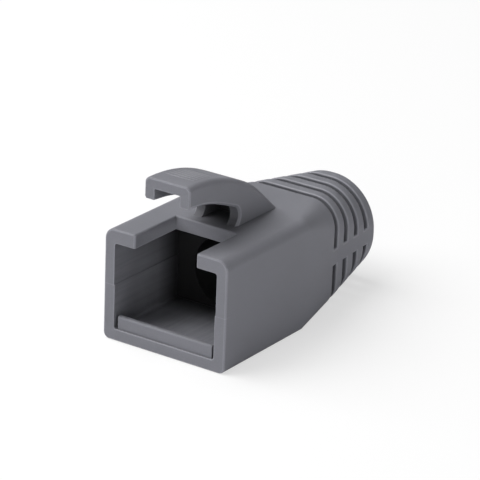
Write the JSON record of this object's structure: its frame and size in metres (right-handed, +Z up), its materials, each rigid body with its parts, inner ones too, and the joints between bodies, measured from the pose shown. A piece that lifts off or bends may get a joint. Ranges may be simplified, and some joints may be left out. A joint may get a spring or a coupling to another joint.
{
  "type": "rj45 strain relief boot",
  "caption": "Soft moulded boot for a modular plug: open box with a notched roof, a hood over the latch, and a slotted neck that runs out into a round cable rim.",
  "frame": {"origin": "on the flat underside, under the middle of the boot's length and width", "axes": "+Y along the cable bore from the open mouth to the round rim, +Z up towards the hood, +X across the mouth"},
  "size_m": [0.014, 0.0286, 0.0174],
  "materials": {
    "soft_plastic": "fine matt, as moulded"
  },
  "bodies": {
    "root": {"boot": "soft_plastic"}
  },
  "joints": []
}
